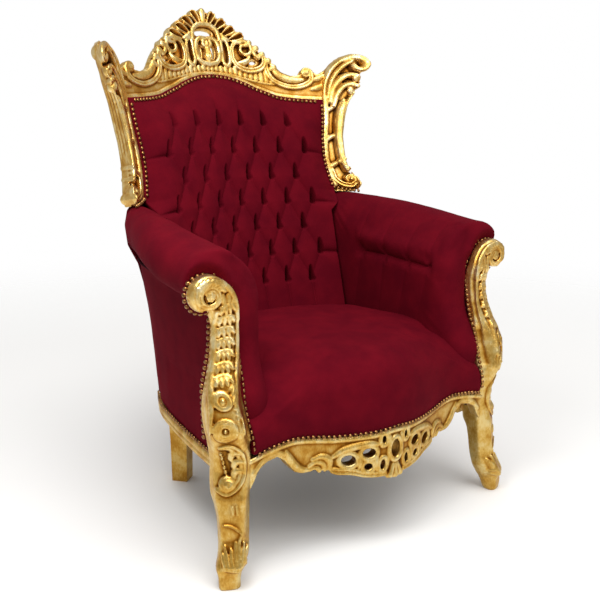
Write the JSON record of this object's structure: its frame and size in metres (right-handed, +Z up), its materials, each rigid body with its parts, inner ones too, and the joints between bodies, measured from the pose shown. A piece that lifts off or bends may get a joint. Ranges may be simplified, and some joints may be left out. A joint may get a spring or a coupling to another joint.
{
  "type": "throne",
  "caption": "Carved and gilded rococo armchair throne with a pierced crest, horned uprights, scrolled arm posts and deep-buttoned velvet upholstery.",
  "frame": {"origin": "centre of the bounding box in plan, on the floor under the feet", "axes": "+Z up, the chair faces -Y, and +X is to the right as seen from the front"},
  "size_m": [0.9056, 0.8567, 1.2496],
  "materials": {
    "gilded_wood": "antique gold leaf over carved beech",
    "burgundy_velvet": "cotton velvet, short pile"
  },
  "bodies": {
    "root": {"crest_rail": "gilded_wood", "back_stile_left": "gilded_wood", "back_stile_right": "gilded_wood", "front_leg_left": "gilded_wood", "front_leg_right": "gilded_wood", "front_rail": "gilded_wood", "side_rail_left": "gilded_wood", "side_rail_right": "gilded_wood", "back_rail": "gilded_wood", "rear_leg_left": "gilded_wood", "rear_leg_right": "gilded_wood", "seat_upholstery": "burgundy_velvet", "back_upholstery": "burgundy_velvet", "arm_upholstery_left": "burgundy_velvet", "arm_upholstery_right": "burgundy_velvet", "outside_back": "burgundy_velvet"}
  },
  "joints": []
}
